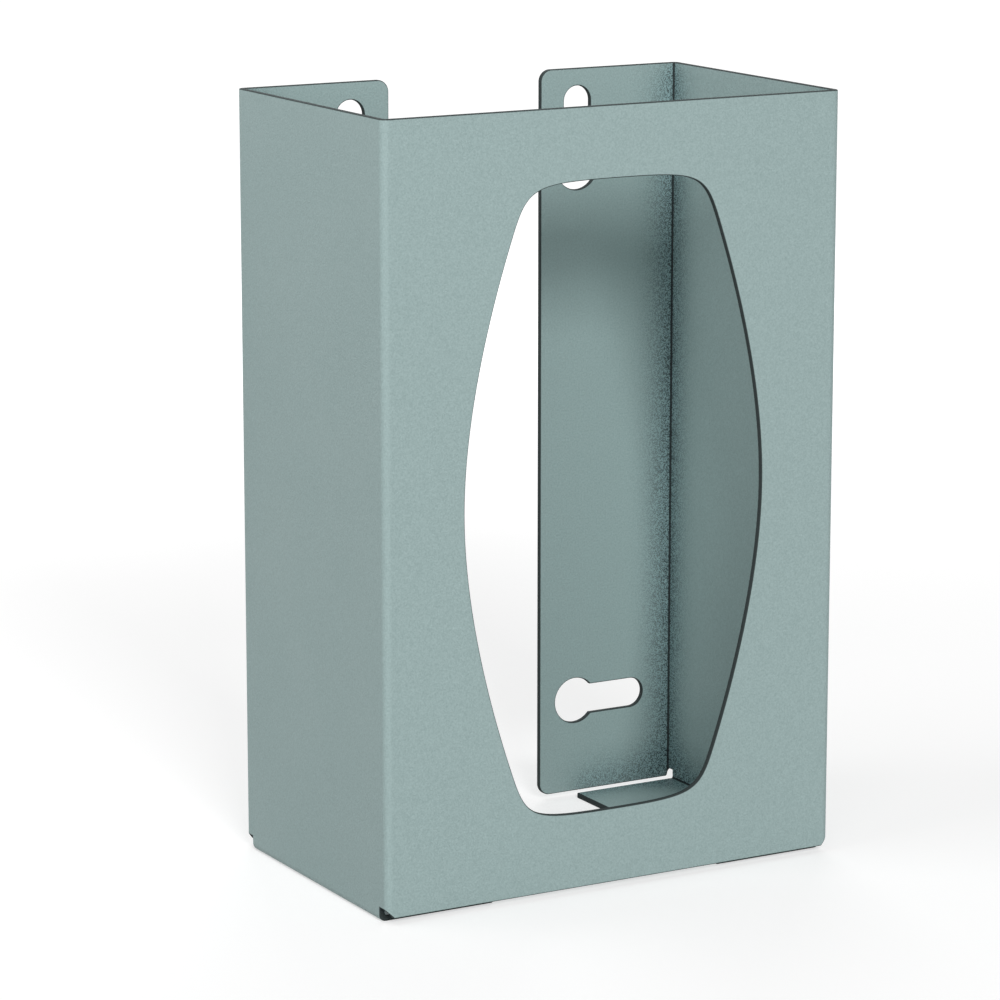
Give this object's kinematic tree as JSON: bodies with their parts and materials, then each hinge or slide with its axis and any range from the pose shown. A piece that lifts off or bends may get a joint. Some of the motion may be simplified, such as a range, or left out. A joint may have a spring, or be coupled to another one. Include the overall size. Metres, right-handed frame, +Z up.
{
  "type": "disposable glove dispenser",
  "caption": "Wall holder folded from sheet steel: an open-topped bay for a carton of gloves, with a tall bowed aperture in front and keyhole-slotted flanges behind.",
  "frame": {"origin": "under the middle of the holder, at the level of the foot tabs' undersides", "axes": "+Z up, the front panel with the aperture faces -Y, and the wall flanges' backs face +Y"},
  "size_m": [0.1666, 0.1, 0.254],
  "materials": {
    "powder_coat": "satin grey-green powder coat with a fine grain"
  },
  "bodies": {
    "root": {"dispenser_body": "powder_coat"}
  },
  "joints": []
}
